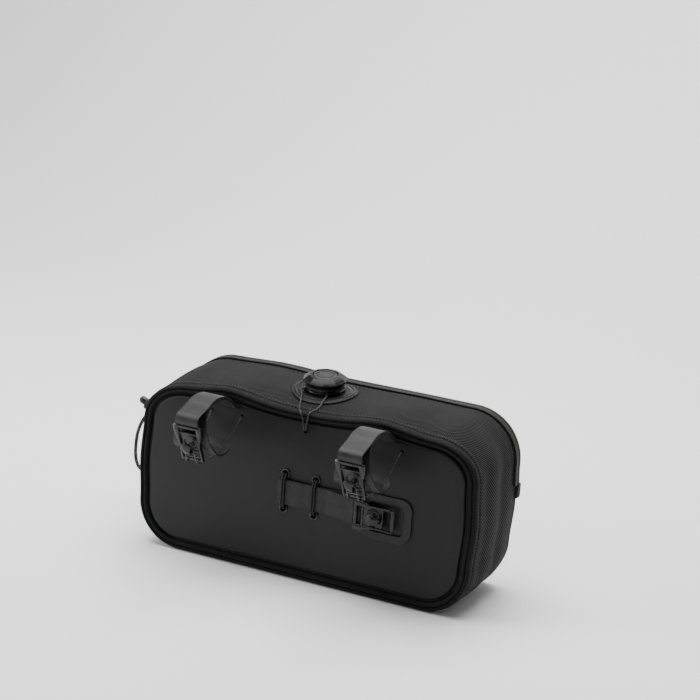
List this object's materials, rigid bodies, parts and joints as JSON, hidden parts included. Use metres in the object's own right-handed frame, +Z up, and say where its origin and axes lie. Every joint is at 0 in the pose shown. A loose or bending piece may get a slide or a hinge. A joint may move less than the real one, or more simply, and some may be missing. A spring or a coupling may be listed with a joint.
{
  "type": "bicycle handlebar bag",
  "caption": "Boxy handlebar bag with moulded panels, zip over the front edge, hook-buckle bar straps, a stowed stem strap and a wire-tensioning dial.",
  "frame": {"origin": "middle of the flat cloth bottom that the bag stands on", "axes": "+X to the rider's right along the bag, +Y forwards, +Z up; the rear panel faces -Y"},
  "size_m": [0.2905, 0.137, 0.1321],
  "materials": {
    "twill": "fine diagonal twill, charcoal black",
    "soft_touch": "smooth matte soft-touch moulded sheet",
    "binding": "ribbed textile binding",
    "flap": "smooth coated cloth",
    "zip_tape": "coated zip tape and coil",
    "dark_plastic": "black moulded plastic",
    "cap_plastic": "dark grey moulded plastic",
    "webbing": "flat woven strap",
    "flecked_cord": "black braided cord with pale flecks",
    "rubber": "moulded rubber",
    "wire": "coated steel lace",
    "strap": "matte flexible strap material",
    "eyelet_metal": "black plated metal",
    "elastic": "thin covered elastic"
  },
  "bodies": {
    "bag": {"gusset": "twill", "rear_panel": "soft_touch", "front_panel": "soft_touch", "rear_piping": "binding", "front_binding": "binding", "zip_flap": "flap", "front_zip": "zip_tape", "zip_end_tab_left": "flap", "zip_end_tab_right": "flap", "zip_slider": "dark_plastic", "pull_strap": "webbing", "pull_toggle": "dark_plastic", "pull_cord": "flecked_cord", "dial_patch": "rubber", "dial_base": "dark_plastic", "dial_wire_left": "wire", "dial_wire_right": "wire", "handlebar_strap_left": "strap", "handlebar_strap_right": "strap", "hook_buckle_left": "dark_plastic", "hook_buckle_right": "dark_plastic", "hook_wire_left": "wire", "hook_wire_right": "wire", "stem_strap": "strap", "stem_buckle": "dark_plastic", "eyelet_upper_left": "eyelet_metal", "eyelet_upper_right": "eyelet_metal", "eyelet_lower_left": "eyelet_metal", "eyelet_lower_right": "eyelet_metal", "retainer_cord_left": "elastic", "retainer_cord_right": "elastic"},
    "dial": {"dial_knob": "cap_plastic"}
  },
  "joints": [
    {"name": "dial_turn", "type": "hinge", "parent": "bag", "child": "dial", "pos_m": [-0.005, -0.00297, 0.12876], "axis": [0, -0.1219, 0.9925], "continuous": true}
  ]
}
